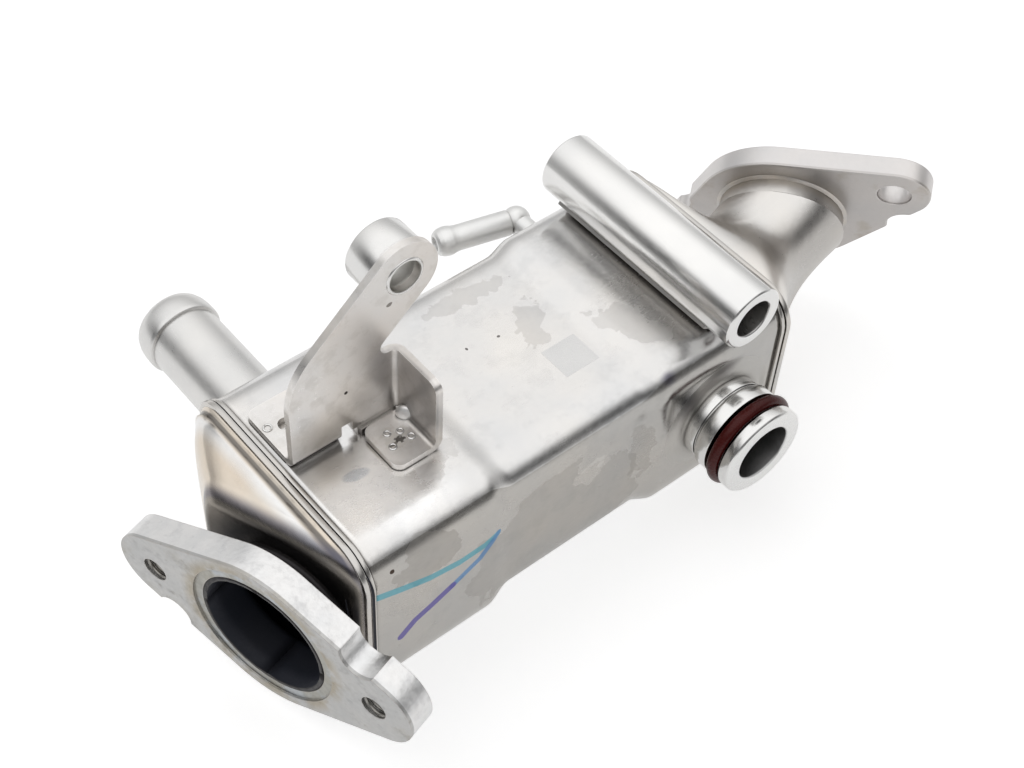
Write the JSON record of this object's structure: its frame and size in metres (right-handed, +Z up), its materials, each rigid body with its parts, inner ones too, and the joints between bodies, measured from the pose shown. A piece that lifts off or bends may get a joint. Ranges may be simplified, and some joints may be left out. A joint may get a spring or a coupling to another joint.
{
  "type": "egr cooler",
  "caption": "Brazed stainless gas cooler: a waisted rectangular casing between two flanged gas tanks, with coolant connections, a mounting sleeve and a folded bracket.",
  "frame": {"origin": "middle of the inlet flange's mating face, half way between its two threaded holes", "axes": "+X along the core from the inlet end to the outlet end, +Y across the core to the side of the coolant hose nipple, +Z up, to the side of the bracket and the mounting sleeve"},
  "size_m": [0.2278, 0.1396, 0.1095],
  "materials": {
    "heat_tinted_steel": "satin, heat tinted by brazing",
    "plate_steel": "satin",
    "tank_steel": "satin, heat tinted by brazing",
    "cast_flange": "matt, pale, cast",
    "stamped_flange": "matt",
    "turned_steel": "bright turned",
    "bracket_steel": "satin",
    "nipple_steel": "satin",
    "seal_rubber": "matt dark maroon",
    "tube_steel": "dull"
  },
  "bodies": {
    "root": {"casing": "heat_tinted_steel", "inlet_header_plate": "plate_steel", "outlet_header_plate": "plate_steel", "inlet_tank": "tank_steel", "outlet_tank": "tank_steel", "inlet_flange": "cast_flange", "outlet_flange": "stamped_flange", "mounting_sleeve": "turned_steel", "coolant_spigot": "turned_steel", "sleeve_saddle": "bracket_steel", "mounting_bracket": "bracket_steel", "bracket_boss": "turned_steel", "coolant_hose_stub": "nipple_steel", "seal_ring": "seal_rubber", "vent_elbow": "nipple_steel", "vent_barb": "nipple_steel", "gas_tube_1": "tube_steel", "tube_fin_1": "tube_steel", "gas_tube_2": "tube_steel", "tube_fin_2": "tube_steel", "gas_tube_3": "tube_steel", "tube_fin_3": "tube_steel", "gas_tube_4": "tube_steel", "tube_fin_4": "tube_steel", "gas_tube_5": "tube_steel", "tube_fin_5": "tube_steel", "gas_tube_6": "tube_steel", "tube_fin_6": "tube_steel", "gas_tube_7": "tube_steel", "tube_fin_7": "tube_steel"}
  },
  "joints": []
}
